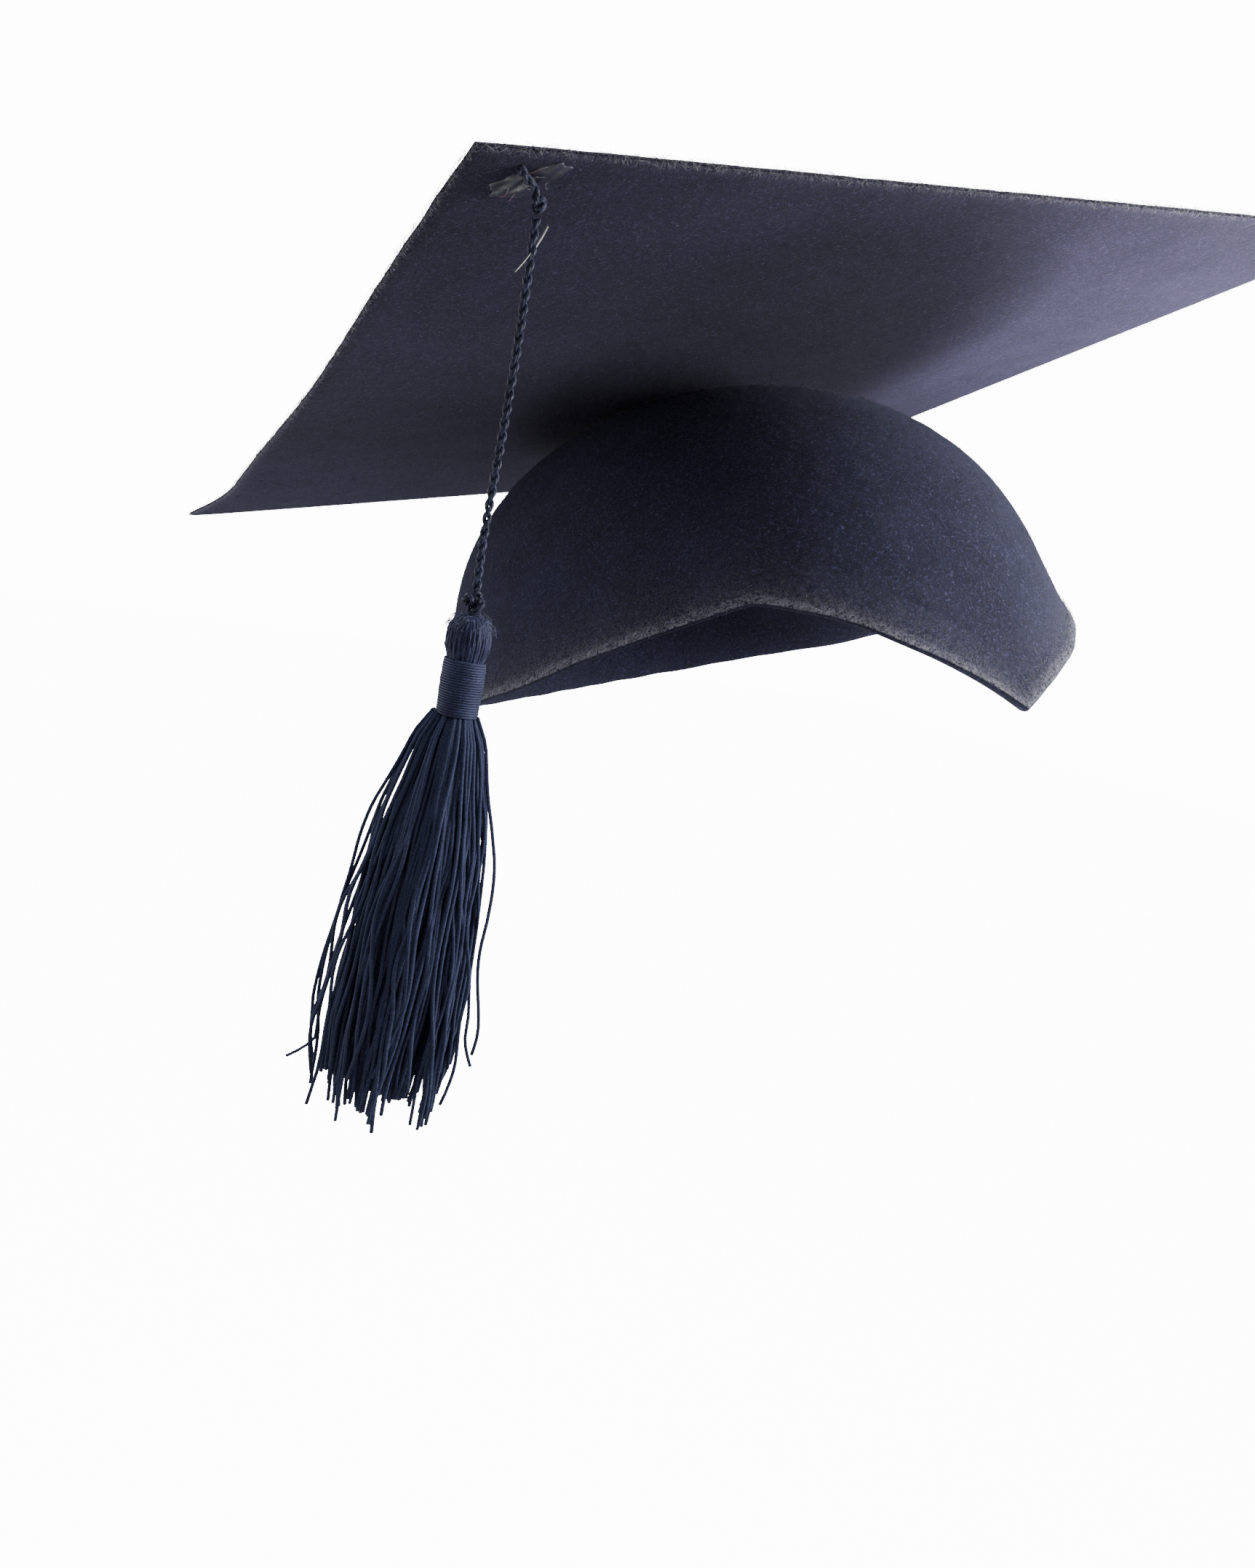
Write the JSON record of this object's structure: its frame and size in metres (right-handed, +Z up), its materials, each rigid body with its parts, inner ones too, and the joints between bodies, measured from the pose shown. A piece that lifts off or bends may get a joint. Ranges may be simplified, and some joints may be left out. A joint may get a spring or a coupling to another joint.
{
  "type": "graduation cap",
  "caption": "Felt graduation cap: skullcap glued under a square stiffened board, with a tassel hanging from a twisted cord at one corner.",
  "frame": {"origin": "middle of the head opening, 72 mm below the board", "axes": "+Z up as worn, with the tassel plumb along -Z; the peak of the skullcap faces -Y and the wearer's right is -X. The cap leans 21.5 degrees towards its rear right corner."},
  "size_m": [0.2486, 0.2408, 0.2154],
  "materials": {
    "card": "matt grey-brown card",
    "board_felt": "matt needled felt with a raw fuzzy edge",
    "moulded_felt": "stiff moulded felt, worn grey above the rim",
    "hot_glue": "cloudy hot-melt glue with fine strings",
    "cord": "silky two-ply twisted cord",
    "plastic_filament": "translucent white filament",
    "tassel_thread": "silky rayon thread"
  },
  "bodies": {
    "cap": {"board_card": "card", "board_top_felt": "board_felt", "board_underside_felt": "board_felt", "crown_glue": "hot_glue", "skullcap": "moulded_felt", "corner_glue": "hot_glue"},
    "hanger": {"cord_top_knot": "cord"},
    "cord": {"tassel_cord": "cord", "tag_pin": "plastic_filament"},
    "tassel_top": {"tassel_knot": "cord"},
    "tassel": {"tassel_loop": "cord", "tassel_head": "tassel_thread", "tassel_binding": "tassel_thread", "tassel_skirt": "tassel_thread"}
  },
  "joints": [
    {"name": "swing_in_out", "type": "hinge", "parent": "cap", "child": "hanger", "pos_m": [-0.12154, -0.0885, 0.06679], "axis": [0.682, -0.7314, 0], "range_deg": [-45, 25]},
    {"name": "swing_sideways", "type": "hinge", "parent": "hanger", "child": "cord", "pos_m": [-0.12154, -0.0885, 0.06679], "axis": [-0.7314, -0.682, 0], "range_deg": [-40, 40]},
    {"name": "tassel_nod", "type": "hinge", "parent": "cord", "child": "tassel_top", "pos_m": [-0.12154, -0.0885, 0.00729], "axis": [0.682, -0.7314, 0], "range_deg": [-25, 25]},
    {"name": "tassel_twist", "type": "hinge", "parent": "tassel_top", "child": "tassel", "pos_m": [-0.12154, -0.0885, 0.00729], "axis": [0, 0, 1], "range_deg": [-180, 180]}
  ]
}
